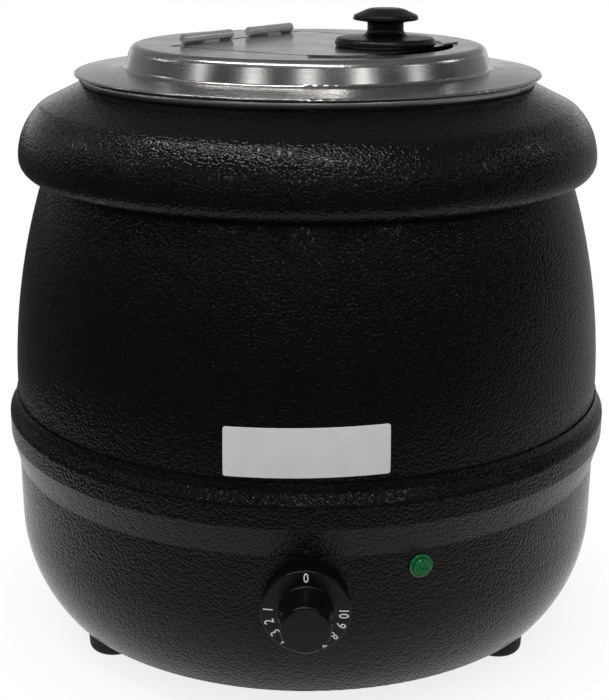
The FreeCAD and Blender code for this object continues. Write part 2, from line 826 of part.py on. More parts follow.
def element_feet():
    """Where the two cold ends come down, left then right."""
    gap = element_leg_angle() + ELEMENT_BEND_R / ELEMENT_R
    x = ELEMENT_R * math.sin(gap) - ELEMENT_BEND_R * math.cos(gap)
    y = ELEMENT_R * math.cos(gap) + ELEMENT_BEND_R * math.sin(gap)
    return [Vector(-x, y, element_z - ELEMENT_LEG_H), Vector(x, y, element_z - ELEMENT_LEG_H)]


def element_clamp():
    half = ELEMENT_R + ELEMENT_D
    bar = block(-half, half, -CLAMP_W / 2, CLAMP_W / 2, clamp_z - CLAMP_T, clamp_z)
    return bar.cut(disc(STUD_D / 2 + FIT, clamp_z - CLAMP_T, clamp_z))


def strap_z():
    return well_z - FIT - CUTOUT_FLANGE_T - FIT


def clamp_stud():
    return disc(STUD_D / 2, stud_end_z - STUD_SPARE, well_z)


def clamp_nuts():
    hole = disc(STUD_D / 2 + RUNNING_FIT, stud_end_z, well_z)
    levels = [(clamp_z, strap_z() - STRAP_T), (clamp_z - CLAMP_T - NUT_H, clamp_z - CLAMP_T)]
    levels.append((stud_end_z, shield_z))
    return [hexagon(STUD_NUT, low, high).cut(hole) for low, high in levels]


def heat_shield():
    dish = sheet([
        at(SHIELD_R, shield_z + SHIELD_RIM_H),
        at(SHIELD_R, shield_z + SHIELD_T, SHIELD_BEND_R),
        at(0, shield_z + SHIELD_T),
    ], SHIELD_T)
    top = shield_z + SHIELD_T
    holes = [disc(STUD_D / 2 + FIT, shield_z, top)]
    for end in element_feet():
        holes.append(disc(ELEMENT_D / 2 + SHIELD_HOLE_GAP, shield_z, top, end.x, end.y))
    holes.append(disc(CUTOUT_D / 2 + SHIELD_HOLE_GAP, shield_z, top, 0, CUTOUT_Y))
    return dish.cut(holes)


def thermal_cutout():
    top = well_z - FIT
    low = top - CUTOUT_H
    flange = disc(CUTOUT_FLANGE_D / 2, top - CUTOUT_FLANGE_T, top, 0, CUTOUT_Y)
    case = disc(CUTOUT_D / 2, low, top, 0, CUTOUT_Y)
    tabs = []
    for side in (-1, 1):
        x = side * CUTOUT_D / 4
        near_y = CUTOUT_Y - CUTOUT_TAB_W / 2
        half_t = CUTOUT_TAB_T / 2
        tabs.append(block(x - half_t, x + half_t, near_y, near_y + CUTOUT_TAB_W, low - CUTOUT_TAB_H, low))
    return joined([flange, case] + tabs)


def cutout_strap():
    top = strap_z()
    half = CUTOUT_FLANGE_D / 2
    strip = block(-half, half, -half, CUTOUT_Y + half, top - STRAP_T, top)
    holes = [disc(STUD_D / 2 + FIT, top - STRAP_T, top)]
    holes.append(disc(CUTOUT_D / 2 + FIT, top - STRAP_T, top, 0, CUTOUT_Y))
    return strip.cut(holes)


# Lamp, made about Z with the wall's outer face at zero
def at_lamp(shape):
    return radial(shape, LAMP_AZ_DEG, body_r, lamp_z)


def lamp_lens():
    """Flanged lens with a groove round a raised crown, whose top is ribbed aslant."""
    crown_r = LENS_CROWN_D / 2
    lens = lathe([
        at(0, -LAMP_STEM_L),
        at(LAMP_STEM_D / 2, -LAMP_STEM_L),
        at(LAMP_STEM_D / 2, RUNNING_FIT),
        at(LENS_D / 2, RUNNING_FIT),
        at(LENS_D / 2, LENS_FLANGE_T, LENS_FLANGE_R),
        at(LENS_GROOVE_D / 2, LENS_FLANGE_T),
        at(LENS_GROOVE_D / 2, LENS_GROOVE_H),
        at(crown_r, LENS_GROOVE_H),
        at(crown_r, LENS_CROWN_H, LENS_CROWN_R),
        at(0, LENS_CROWN_H),
    ])
    grooves = []
    for step in range(LENS_RIBS):
        y = (step - (LENS_RIBS - 1) / 2) * LENS_RIB_PITCH
        start = Vector(-LENS_D / 2, y, LENS_CROWN_H)
        groove = Part.makeCylinder(LENS_RIB_R, LENS_D, start, Vector(1, 0, 0))
        grooves.append(placed(groove, Placement(Vector(), Rotation(Z_AXIS, LENS_RIB_TURN_DEG))))
    return at_lamp(lens.cut(grooves))


def lamp_body():
    top = -LAMP_STEM_L - FIT
    return at_lamp(disc(LAMP_STEM_D / 2, top - LAMP_BODY_L, top))


def lamp_clip():
    outer = LAMP_CLIP_D / 2
    top = -SHEET_T - sagitta(body_r - SHEET_T, outer) - RUNNING_FIT
    return at_lamp(ring(outer, LAMP_STEM_D / 2 + RUNNING_FIT, top - CLIP_T, top))


# Base
def plate_screw_places():
    radius = bowl_foot_r - PLATE_INSET - BOWL_FLANGE_W / 2
    places = []
    for step in range(PLATE_SCREWS):
        angle = 2 * math.pi * (step + 0.5) / PLATE_SCREWS
        places.append((radius * math.cos(angle), radius * math.sin(angle)))
    return places


def foot_places():
    spread = math.radians(FOOT_SPREAD_DEG)
    x = (bowl_foot_r - FOOT_INSET) * math.cos(spread)
    y = (bowl_foot_r - FOOT_INSET) * math.sin(spread)
    return {"front_left": (-x, -y), "front_right": (x, -y), "rear_left": (-x, y), "rear_right": (x, y)}


def base_plate():
    plate = disc(bowl_foot_r - PLATE_INSET, plate_z, floor_z)
    holes = []
    for x, y in foot_places().values():
        holes.append(disc(M4_D / 2 + FIT, plate_z, floor_z, x, y))
    for x, y in plate_screw_places():
        holes.append(disc(PLATE_SCREW_D / 2 + FIT, plate_z, floor_z, x, y))
    for step in range(VENT_SLOTS):
        inner = VENT_R - VENT_L / 2
        slot = block(inner, inner + VENT_L, -VENT_W / 2, VENT_W / 2, plate_z, floor_z)
        near_end = disc(VENT_W / 2, plate_z, floor_z, inner)
        far_end = disc(VENT_W / 2, plate_z, floor_z, inner + VENT_L)
        turn = Placement(Vector(), Rotation(Z_AXIS, (step + 0.5) * 360 / VENT_SLOTS))
        holes.append(placed(joined([slot, near_end, far_end]), turn))
    for side in (-1, 1):
        x = side * (BLOCK_SIZE[0] / 2 - TERMINAL_SCREW_D)
        holes.append(disc(TERMINAL_SCREW_D / 2 + RUNNING_FIT, plate_z, floor_z, x, block_y))
    return plate.cut(holes)


def base_plate_screws():
    screws = []
    for x, y in plate_screw_places():
        head = disc(PLATE_SCREW_HEAD_D / 2, plate_z - PLATE_SCREW_HEAD_H, plate_z, x, y)
        shank = disc(PLATE_SCREW_D / 2, plate_z, floor_z + PLATE_SCREW_L, x, y)
        screws.append(joined([head, shank]))
    return screws


def foot(x, y):
    pocket_r = FOOT_POCKET_D / 2
    solid = lathe([
        at(0, 0),
        at(FOOT_BOTTOM_D / 2, 0, FOOT_EDGE_R),
        at(FOOT_TOP_D / 2, plate_z),
        at(0, plate_z),
    ])
    solid = solid.cut([disc(pocket_r, 0, plate_z - FOOT_WEB_H), disc(M4_D / 2 + FIT, 0, plate_z)])
    solid.translate(Vector(x, y, 0))
    return solid


def foot_screws():
    screws = []
    seat = plate_z - FOOT_WEB_H
    for x, y in foot_places().values():
        head = disc(M4_HEAD_D / 2, seat - M4_HEAD_H, seat, x, y)
        shank = disc(M4_D / 2, seat, floor_z + M4_NUT_H + M4_D / 2, x, y)
        screws.append(joined([head, shank]))
    return screws


def foot_nuts():
    nuts = []
    for x, y in foot_places().values():
        nut = hexagon(M4_NUT, floor_z, floor_z + M4_NUT_H, x, y)
        nuts.append(nut.cut(disc(M4_D / 2 + RUNNING_FIT, floor_z, floor_z + M4_NUT_H, x, y)))
    return nuts


# Cord entry, made about Z with the wall's outer face at zero
def at_gland(shape):
    return radial(shape, GLAND_AZ_DEG, body_r, gland_z)


def gland_body():
    flange = hexagon(GLAND_HEX, RUNNING_FIT, GLAND_FLANGE_H)
    barrel = disc(GLAND_THREAD_D / 2, -GLAND_INNER_L, GLAND_FLANGE_H + GLAND_CAP_L / 3)
    bore = disc(GLAND_SEAL_D / 2 + FIT, -GLAND_INNER_L, GLAND_FLANGE_H + GLAND_CAP_L)
    return at_gland(joined([flange, barrel]).cut(bore))


def gland_cap():
    low = GLAND_FLANGE_H + FIT
    high = GLAND_FLANGE_H + GLAND_CAP_L
    grip = hexagon(GLAND_CAP_HEX, low, low + GLAND_CAP_L / 2)
    dome = lathe([
        at(0, low),
        at(GLAND_CAP_HEX / 2, low),
        at(GLAND_CAP_HEX / 2, high, GLAND_CAP_R),
        at(0, high),
    ])
    thread = disc(GLAND_THREAD_D / 2 + FIT, low, low + GLAND_CAP_L / 2)
    mouth = disc(GLAND_SEAL_D / 2 + FIT, low, high)
    return at_gland(joined([grip, dome]).cut([thread, mouth]))


def gland_seal():
    high = GLAND_FLANGE_H + GLAND_CAP_L - GLAND_SEAL_INSET
    return at_gland(ring(GLAND_SEAL_D / 2, GLAND_HOLE_D / 2, GLAND_FLANGE_H, high))


def gland_locknut():
    corner = GLAND_HEX / math.sqrt(3)
    top = -SHEET_T - sagitta(body_r - SHEET_T, corner) - RUNNING_FIT
    nut = hexagon(GLAND_HEX, top - GLAND_FLANGE_H, top)
    return at_gland(nut.cut(disc(GLAND_THREAD_D / 2 + RUNNING_FIT, top - GLAND_FLANGE_H, top)))


# Wiring
def pole_places():
    return [-BLOCK_PITCH, 0.0, BLOCK_PITCH]


def pole(radius, x, y0, y1):
    return Part.makeCylinder(radius, y1 - y0, Vector(x, y0, floor_z + BLOCK_WIRE_H), Vector(0, 1, 0))


def terminal_block():
    length, width, height = BLOCK_SIZE
    low_y = block_y - width / 2
    case = block(-length / 2, length / 2, low_y, low_y + width, floor_z, floor_z + height)
    holes = [pole(WIRE_D + RUNNING_FIT, x, low_y, low_y + width) for x in pole_places()]
    for side in (-1, 1):
        x = side * (length / 2 - TERMINAL_SCREW_D)
        holes.append(disc(TERMINAL_SCREW_D / 2 + FIT, floor_z, floor_z + height, x, block_y))
    return case.cut(holes)


def terminal_clamps():
    low_y = block_y - BLOCK_SIZE[1] / 2 + TERMINAL_INSET
    high_y = low_y + BLOCK_SIZE[1] - 2 * TERMINAL_INSET
    clamps = []
    for x in pole_places():
        clamps.append(pole(WIRE_D, x, low_y, high_y).cut(pole(WIRE_D / 2 + FIT, x, low_y, high_y)))
    return clamps


def terminal_screws():
    screws = []
    top = floor_z + BLOCK_SIZE[2]
    for side in (-1, 1):
        x = side * (BLOCK_SIZE[0] / 2 - TERMINAL_SCREW_D)
        head = disc(TERMINAL_HEAD_D / 2, top, top + TERMINAL_HEAD_H, x, block_y)
        shank = disc(TERMINAL_SCREW_D / 2, plate_z, top, x, block_y)
        screws.append(joined([head, shank]))
    return screws


def earth_stud():
    """Weld stud on the base plate, with the earth tag between two nuts."""
    tag_low = floor_z + BLOCK_WIRE_H - EARTH_TAG_T / 2
    tag_high = tag_low + EARTH_TAG_T
    stud = disc(EARTH_STUD_D / 2, floor_z, tag_high + 2 * NUT_H, EARTH_X, EARTH_Y)
    lower = hexagon(EARTH_NUT, floor_z, tag_low, EARTH_X, EARTH_Y)
    tag = disc(EARTH_TAG_D / 2, tag_low, tag_high, EARTH_X, EARTH_Y)
    upper = hexagon(EARTH_NUT, tag_high, tag_high + NUT_H, EARTH_X, EARTH_Y)
    return joined([stud, lower, tag, upper])


def internal_wiring():
    """Six leads: each drops or runs at its own level and ends on the piece it feeds."""
    wire_z = floor_z + BLOCK_WIRE_H
    high_z = wire_z + 4 * WIRE_D
    start_y = block_y - BLOCK_SIZE[1] / 2 + TERMINAL_WIRE_IN
    switch_y = -(body_r + thermostat_front() - THERMOSTAT_D / 2)
    switch_z = dial_z - THERMOSTAT_H / 2 - FIT
    switch_x = THERMOSTAT_W / 3
    tab_x = CUTOUT_D / 4
    tab_z = well_z - FIT - CUTOUT_H - CUTOUT_TAB_H - FIT
    left_foot, right_foot = element_feet()
    foot_z = left_foot.z - FIT
    live_x, earth_x, neutral_x = pole_places()
    lamp_out = math.radians(LAMP_AZ_DEG)
    lamp_end_r = body_r - LAMP_STEM_L - LAMP_BODY_L - 2 * FIT
    drop_r = (lamp_end_r + well_out_r) / 2

    def lamp_side(radius, height):
        return Vector(radius * math.sin(lamp_out), -radius * math.cos(lamp_out), height)

    routes = [
        [Vector(live_x, start_y, wire_z), Vector(live_x, switch_y, wire_z),
         Vector(live_x, switch_y, switch_z)],
        [Vector(switch_x, switch_y, switch_z), Vector(switch_x, switch_y, high_z),
         Vector(tab_x, CUTOUT_Y, high_z), Vector(tab_x, CUTOUT_Y, tab_z)],
        [Vector(-tab_x, CUTOUT_Y, tab_z), Vector(-tab_x, CUTOUT_Y, high_z),
         Vector(left_foot.x, left_foot.y, high_z), Vector(left_foot.x, left_foot.y, foot_z)],
        [Vector(right_foot.x, right_foot.y, foot_z), Vector(right_foot.x, right_foot.y, high_z),
         Vector(neutral_x, right_foot.y, wire_z), Vector(neutral_x, start_y, wire_z)],
        [Vector(earth_x, start_y, wire_z), Vector(earth_x, EARTH_Y, wire_z),
         Vector(EARTH_X - EARTH_TAG_D / 2 - FIT, EARTH_Y, wire_z)],
        [lamp_side(lamp_end_r, lamp_z), lamp_side(drop_r, lamp_z), lamp_side(drop_r, dial_z),
         Vector(THERMOSTAT_W / 2 + WIRE_D / 2, switch_y, dial_z)],
    ]
    return [tube(route, WIRE_BEND_R if index < 5 else WIRE_BEND_R / 2, WIRE_D)
            for index, route in enumerate(routes)]


PARTS = {
    "base_bowl": base_bowl,
    "outer_jacket": outer_jacket,
    "top_collar": top_collar,
    "water_well": water_well,
    "soup_pot": soup_pot,
    "lid_shell": lid_shell,
    "lid_flap": lid_flap,
    "hinge_fixed_leaves": hinge_fixed_leaves,
    "hinge_flap_leaves": hinge_flap_leaves,
    "hinge_pins": hinge_pins,
    "lid_knob": lid_knob,
    "knob_washer": knob_washer,
    "knob_screw": knob_screw,
    "dial_knob": dial_knob,
    "thermostat_shaft": thermostat_shaft,
    "thermostat_body": thermostat_body,
    "thermostat_screws": thermostat_screws,
    "thermostat_bulb": thermostat_bulb,
    "bulb_clips": bulb_clips,
    "heating_element": heating_element,
    "element_clamp": element_clamp,
    "clamp_stud": clamp_stud,
    "clamp_nuts": clamp_nuts,
    "heat_shield": heat_shield,
    "thermal_cutout": thermal_cutout,
    "cutout_strap": cutout_strap,
    "lamp_lens": lamp_lens,
    "lamp_body": lamp_body,
    "lamp_clip": lamp_clip,
    "base_plate": base_plate,
    "base_plate_screws": base_plate_screws,
    "foot_screws": foot_screws,
    "foot_nuts": foot_nuts,
    "gland_body": gland_body,
    "gland_cap": gland_cap,
    "gland_seal": gland_seal,
    "gland_locknut": gland_locknut,
    "terminal_block": terminal_block,
    "terminal_clamps": terminal_clamps,
    "terminal_screws": terminal_screws,
    "earth_stud": earth_stud,
    "internal_wiring": internal_wiring,
}

os.makedirs("parts", exist_ok=True)


def write(name, made):
    solids = made if isinstance(made, list) else [made]
    shape = Part.makeCompound(solids) if len(solids) > 1 else solids[0]
    if not shape.isValid() or len(shape.Solids) != len(solids):
        print(name, "is not", len(solids), "valid solids but", len(shape.Solids))
    shape.exportStep("parts/" + name + ".step")


for part_name, make in PARTS.items():
    write(part_name, make())
for place, (foot_x, foot_y) in foot_places().items():
    write("foot_" + place, foot(foot_x, foot_y))
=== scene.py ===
import json
import math

import bmesh
import bpy
from mathutils import Euler, Matrix, Vector


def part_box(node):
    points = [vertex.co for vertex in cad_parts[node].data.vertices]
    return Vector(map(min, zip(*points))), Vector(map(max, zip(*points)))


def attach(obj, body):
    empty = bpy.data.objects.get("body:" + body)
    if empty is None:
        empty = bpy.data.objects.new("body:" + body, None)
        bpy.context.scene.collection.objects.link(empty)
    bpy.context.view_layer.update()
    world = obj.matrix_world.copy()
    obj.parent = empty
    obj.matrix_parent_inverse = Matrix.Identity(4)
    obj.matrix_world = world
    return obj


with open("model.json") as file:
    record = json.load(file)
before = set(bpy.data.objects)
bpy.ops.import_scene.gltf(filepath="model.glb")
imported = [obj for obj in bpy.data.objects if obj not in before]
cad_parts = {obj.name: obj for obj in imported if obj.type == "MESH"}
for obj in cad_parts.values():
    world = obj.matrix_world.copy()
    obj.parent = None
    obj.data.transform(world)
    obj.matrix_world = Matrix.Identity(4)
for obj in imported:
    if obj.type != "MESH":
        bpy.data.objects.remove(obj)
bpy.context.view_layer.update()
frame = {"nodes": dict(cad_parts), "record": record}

WHITE = (1.0, 1.0, 1.0, 1.0)

# Camera, fitted to the photograph. Lengths are in metres, angles in degrees.
CAMERA_AT = (-0.00118, -0.7693, 0.3947)
CAMERA_PITCH = 17.61
CAMERA_ROLL = 0.25
CAMERA_LENS = 71.465
CAMERA_SENSOR = 36.0

# Floor: its reach, how pale it is near the kettle, the painted shade that darkens it further off, darker on
# the left, and the span from left to right over which that shade runs, the share of white in the kettle's
# shadow, and the distances from the axis over which that shadow and the white table end.
FLOOR_FRONT = -0.45
FLOOR_BACK = 6.0
FLOOR_SIDE = 5.0
FLOOR_PALE = 0.6
# painted shade for the far floor's matt colour, from its left end to its right end
FLOOR_PAINTED_SHADE = (0.05, 0.28)
FLOOR_ACROSS = (-0.5, 0.5)
FLOOR_SHADE = 0.8
SHADOW_EDGE = (0.13, 0.2)
TABLE_EDGE = (0.2, 0.45)

# Surroundings, as radiance. Each pair is the stretch of a direction's Y or Z over which one thing ends.
BACKDROP = 1.0
BACKDROP_TOP = (0.08, 0.2)
BACKDROP_SIDE = (0.8, 0.92)
AMBIENT = 0.8
DIM_ROOM = 0.055
WALL = 0.34
WALL_SIDE = (0.2, 0.8)
WALL_TOP = (0.3, 0.7)
CEILING = 0.12
CEILING_EDGE = (0.45, 0.8)

# Lamps: powers are watts, and places are seen from a point on the kettle's axis.
LAMP_LEVEL = 0.3
LAMP_AWAY = 2.2
ARC_TURNS = (-105.0, -72.0, -34.0, 0.0, 34.0, 72.0, 105.0)
ARC_RISE = 24.0
ARC_SIZE = (0.3, 0.34)
ARC_POWER = 1.4
TUBE_TURNS = (-34.0,)
TUBE_RISE = 66.0
TUBE_SIZE = (3.0, 0.14)
TUBE_POWER = 42.0

# How many octaves a noise has.
PLAIN_DETAIL = 2.0
LINED_DETAIL = 3.0
CLOUDY_DETAIL = 4.0

# Hammertone paint: sizes across a pebble, a grain of orange peel and a cloud, the pebbles' height, the size
# and reach of their bending in pebbles, how they merge, where they end, and the orange peel's share.
HAMMER_CELL = 0.0015
HAMMER_FINE = 0.0006
HAMMER_CLOUD = 0.03
HAMMER_DEPTH = 0.0002
HAMMER_WARP = 3.0
HAMMER_BEND = 1.2
HAMMER_MERGE = 0.3
HAMMER_END = 0.5
HAMMER_PEEL = 0.12
HAMMER_DARK = (0.0018, 0.0019, 0.0017)
HAMMER_LIGHT = (0.0032, 0.0033, 0.0030)
HAMMER_ROUGH = (0.11, 0.17)
HAMMER_GLOSS = 0.16

# Spun sheet: dark and light colour, low and high roughness, and depth of its rings.
SPUN_LOOKS = {
    "polished_steel": ((0.38, 0.372, 0.36), (0.47, 0.462, 0.45), 0.19, 0.31, 0.000004),
    "satin_steel": ((0.66, 0.655, 0.64), (0.78, 0.775, 0.76), 0.34, 0.46, 0.000006),
    "well_metal": ((0.50, 0.51, 0.52), (0.62, 0.63, 0.64), 0.30, 0.46, 0.000008),
}
SPUN_LINE = 0.0005
SPUN_CLOUD = 0.02
SPUN_MARKS = (0.1, 0.5)

# Small metal parts: dark and light colour, low and high roughness, and share of bare metal.
CAST_LOOKS = {
    # painted highlight: the hinges take a lighter, glossier copy of the lid's steel for the light they catch
    "lit_hinge_steel": ((0.66, 0.65, 0.63), (0.78, 0.77, 0.75), 0.14, 0.24, 0.85),
    "zinc_steel": ((0.40, 0.40, 0.40), (0.56, 0.56, 0.54), 0.26, 0.42, 1.0),
    "element_metal": ((0.12, 0.11, 0.10), (0.28, 0.26, 0.24), 0.35, 0.55, 1.0),
    "copper_alloy": ((0.52, 0.34, 0.12), (0.74, 0.54, 0.24), 0.22, 0.4, 1.0),
}
CAST_PATCH = 0.004
CAST_GRAIN = 0.0004
CAST_DEPTH = 0.00002

# Mouldings and print: dark and light colour, low and high roughness, and size and depth of the grain.
MOULDED_LOOKS = {
    "black_plastic": ((0.0018, 0.0018, 0.0017), (0.0032, 0.0032, 0.0031), 0.24, 0.38, 0.00045, 0.00004),
    "black_rubber": ((0.005, 0.005, 0.005), (0.010, 0.010, 0.010), 0.55, 0.8, 0.0008, 0.00008),
    "white_insulator": ((0.60, 0.59, 0.55), (0.74, 0.73, 0.69), 0.4, 0.6, 0.0005, 0.00003),
    "wire_cover": ((0.30, 0.07, 0.03), (0.42, 0.12, 0.05), 0.4, 0.6, 0.0006, 0.00003),
    "white_print": ((0.52, 0.53, 0.52), (0.70, 0.70, 0.68), 0.45, 0.6, 0.0003, 0.00002),
    "worn_print": ((0.010, 0.010, 0.010), (0.030, 0.030, 0.029), 0.45, 0.6, 0.0003, 0.00002),
}
MOULDED_CLOUD = 0.012
MOULDED_MARKS = (0.6, 1.4)
MOULDED_GLOSS = 0.24

# Lamp lens.
LENS_SHADER = {
    "Coat_Weight": 0.3,
    "Coat_Roughness": 0.04,
    "Transmission_Weight": 0.25,
    "Specular_IOR_Level": 0.3,
}
LENS_CLOUD = 0.002
LENS_RIPPLE = 0.0006
LENS_DEPTH = 0.00003
LENS_DARK = (0.001, 0.055, 0.012)
LENS_LIGHT = (0.003, 0.17, 0.045)
LENS_ROUGH = (0.10, 0.20)

# Bare plate on the barrel: its place, its thickness and its face, whose grain is drawn out level.
PLATE_HALF_ANGLE = 13.9
PLATE_LOW = 0.1397
PLATE_HIGH = 0.1644
PLATE_CORNER = 0.0010
PLATE_TILT = 0.021
PLATE_PROUD = 0.0005
PLATE_WALL = 1.2 * PLATE_PROUD
PLATE_EDGE = 0.3 * PLATE_PROUD
PLATE_EDGE_ANGLE = 50.0
PLATE_EDGE_STEPS = 2
PLATE_COLUMNS = 48
PLATE_ROWS = 10
PLATE_LINE = 0.0003
PLATE_DRAWN = (0.05, 0.05, 1.0)
PLATE_CLOUD = 0.015
PLATE_DEPTH = 0.00002
PLATE_DARK = (0.40, 0.405, 0.42)
PLATE_LIGHT = (0.54, 0.545, 0.56)
PLATE_ROUGH = (0.34, 0.5)

# Dial print, and the index mark above the dial. DIGIT_CAP is a digit's height at a font size of 1.
DIGIT_HEIGHT = 0.0050
DIGIT_CAP = 0.73
DIGIT_NARROW = 0.78
DIGIT_RADIUS = 0.0180
DIGIT_PROUD = 0.0001
DIGIT_SEARCH = 0.1
FIRST_STEP = 85.0
DIGIT_STEP = 20.4
LAST_DIGIT = 10
INDEX_RISE = 0.0055
INDEX_WIDTH = 0.0022
INDEX_HEIGHT = 0.0016


def add_node(tree, kind, inputs, **settings):
    """A shader node with its settings, and its inputs as constants or as links from other nodes' outputs."""
    made = tree.nodes.new(kind)
    for name, value in settings.items():
        setattr(made, name, value)
    for name, value in inputs.items():
        if isinstance(value, bpy.types.NodeSocket):
            tree.links.new(value, made.inputs[name])
        else:
            made.inputs[name].default_value = value
    return made


def math_node(tree, operation, first, second):
    """The result of one sum on two sockets or numbers."""
    return add_node(tree, "ShaderNodeMath", {0: first, 1: second}, operation=operation).outputs[0]


def vector_node(tree, operation, inputs):
    """A sum on vectors."""
    return add_node(tree, "ShaderNodeVectorMath", inputs, operation=operation)


def rescaled(tree, value, low, high, start=0.0, end=1.0):
    """A value from start to end, carried to the range from low to high."""
    inputs = {"Value": value, "From Min": start, "From Max": end, "To Min": low, "To Max": high}
    return add_node(tree, "ShaderNodeMapRange", inputs).outputs["Result"]


def number_between(tree, share, first, second):
    """A number that runs from first to second as the share goes from 0 to 1."""
    return add_node(tree, "ShaderNodeMix", {0: share, 2: first, 3: second}).outputs[0]


def colour_between(tree, share, dark, light):
    """A colour that runs from dark to light as the share goes from 0 to 1."""
    inputs = {0: share, 6: (*dark, 1.0), 7: (*light, 1.0)}
    return add_node(tree, "ShaderNodeMix", inputs, data_type="RGBA").outputs[2]


def noise(tree, place, cell, detail=PLAIN_DETAIL):
    """Soft noise whose lumps are about one cell across."""
    inputs = {"Vector": place, "Scale": 1.0 / cell, "Detail": detail}
    return add_node(tree, "ShaderNodeTexNoise", inputs).outputs["Fac"]


def mirrored(tree, path):
    """1 for what metal and glass show, and 0 for other rays."""
    return math_node(tree, "MAXIMUM", path.outputs["Is Glossy Ray"], path.outputs["Is Transmission Ray"])


def new_material(name, **constants):
    """An empty surface: its tree, its shader and the place on the object that patterns follow."""
    made = bpy.data.materials.new(name)
    made.use_nodes = True
    tree = made.node_tree
    shader = tree.nodes["Principled BSDF"]
    for socket, value in constants.items():
        shader.inputs[socket.replace("_", " ")].default_value = value
    place = tree.nodes.new("ShaderNodeTexCoord").outputs["Object"]
    return made, tree, shader, place


def dress(tree, shader, colour, rough, height, depth):
    """Links a colour, a roughness and a height to a shader."""
    tree.links.new(colour, shader.inputs["Base Color"])
    tree.links.new(rough, shader.inputs["Roughness"])
    bump = add_node(tree, "ShaderNodeBump", {"Height": height, "Distance": depth, "Strength": 1.0})
    tree.links.new(bump.outputs["Normal"], shader.inputs["Normal"])


def hammertone():
    """Black hammertone powder coat: leathery pebbles with a finer orange peel over them."""
    made, tree, shader, place = new_material("hammertone", Specular_IOR_Level=HAMMER_GLOSS)
    warp_inputs = {"Vector": place, "Scale": 1.0 / (HAMMER_WARP * HAMMER_CELL)}
    warp = add_node(tree, "ShaderNodeTexNoise", warp_inputs).outputs["Color"]
    shift = vector_node(tree, "SCALE", {0: warp, "Scale": HAMMER_BEND * HAMMER_CELL}).outputs[0]
    bent = vector_node(tree, "ADD", {0: place, 1: shift}).outputs[0]
    cell_inputs = {"Vector": bent, "Scale": 1.0 / HAMMER_CELL, "Smoothness": HAMMER_MERGE}
    cells = add_node(tree, "ShaderNodeTexVoronoi", cell_inputs, feature="SMOOTH_F1").outputs["Distance"]
    pebbles = rescaled(tree, math_node(tree, "POWER", cells, 2.0), 1.0, 0.0, 0.0, HAMMER_END)
    fine = noise(tree, place, HAMMER_FINE)
    height = math_node(tree, "ADD", pebbles, math_node(tree, "MULTIPLY", fine, HAMMER_PEEL))
    colour = colour_between(tree, noise(tree, place, HAMMER_CLOUD), HAMMER_DARK, HAMMER_LIGHT)
    rough = rescaled(tree, fine, *HAMMER_ROUGH)
    dress(tree, shader, colour, rough, height, HAMMER_DEPTH)
    return made


def spun_metal(name, dark, light, low, high, depth):
    """Sheet metal spun on a lathe: faint rings about the kettle's axis and cloudy handling marks."""
    made, tree, shader, place = new_material(name, Metallic=1.0)
    across = vector_node(tree, "MULTIPLY", {0: place, 1: (1.0, 1.0, 0.0)}).outputs[0]
    radius = vector_node(tree, "LENGTH", {0: across}).outputs["Value"]
    level = add_node(tree, "ShaderNodeSeparateXYZ", {0: place}).outputs["Z"]
    run = add_node(tree, "ShaderNodeCombineXYZ", {"X": radius, "Y": level}).outputs[0]
    rings = noise(tree, run, SPUN_LINE, LINED_DETAIL)
    clouds = noise(tree, place, SPUN_CLOUD, CLOUDY_DETAIL)
    colour = colour_between(tree, clouds, dark, light)
    rough = rescaled(tree, math_node(tree, "MULTIPLY", rings, clouds), low, high, *SPUN_MARKS)
    dress(tree, shader, colour, rough, rings, depth)
    return made


def cast_metal(name, dark, light, low, high, metallic):
    """Plated or bare metal on small parts, with patchy tarnish."""
    made, tree, shader, place = new_material(name, Metallic=metallic)
    patches = noise(tree, place, CAST_PATCH, CLOUDY_DETAIL)
    grain = noise(tree, place, CAST_GRAIN)
    colour = colour_between(tree, patches, dark, light)
    rough = rescaled(tree, grain, low, high)
    dress(tree, shader, colour, rough, grain, CAST_DEPTH)
    return made


def moulded(name, dark, light, low, high, cell, depth):
    """Moulded plastic or rubber with the fine grain of its mould, or slightly uneven print."""
    made, tree, shader, place = new_material(name, Specular_IOR_Level=MOULDED_GLOSS)
    grain = noise(tree, place, cell, LINED_DETAIL)
    wide = noise(tree, place, MOULDED_CLOUD, LINED_DETAIL)
    colour = colour_between(tree, wide, dark, light)
    rough = rescaled(tree, math_node(tree, "ADD", grain, wide), low, high, *MOULDED_MARKS)
    dress(tree, shader, colour, rough, grain, depth)
    return made


def lens():
    """Tinted lamp lens: clear skin over a darker, faintly cloudy green."""
    made, tree, shader, place = new_material("green_lens", **LENS_SHADER)
    cloud = noise(tree, place, LENS_CLOUD)
    colour = colour_between(tree, cloud, LENS_DARK, LENS_LIGHT)
    rough = rescaled(tree, cloud, *LENS_ROUGH)
    dress(tree, shader, colour, rough, noise(tree, place, LENS_RIPPLE), LENS_DEPTH)
    return made


def plate_face():
    """Bare silver-grey plate with a fine level grain."""
    made, tree, shader, place = new_material("bare_plate", Metallic=0.0)
    drawn = vector_node(tree, "MULTIPLY", {0: place, 1: PLATE_DRAWN}).outputs[0]
    lines = noise(tree, drawn, PLATE_LINE, LINED_DETAIL)
    cloud = noise(tree, place, PLATE_CLOUD, LINED_DETAIL)
    mean = math_node(tree, "MULTIPLY", math_node(tree, "ADD", lines, cloud), 0.5)
    colour = colour_between(tree, mean, PLATE_DARK, PLATE_LIGHT)
    rough = rescaled(tree, lines, *PLATE_ROUGH)
    dress(tree, shader, colour, rough, lines, PLATE_DEPTH)
    return made


FINISHES = {"hammertone": hammertone(), "green_lens": lens(), "bare_plate": plate_face()}
for family, looks in ((spun_metal, SPUN_LOOKS), (cast_metal, CAST_LOOKS), (moulded, MOULDED_LOOKS)):
    for finish_name, look in looks.items():
        FINISHES[finish_name] = family(finish_name, *look)


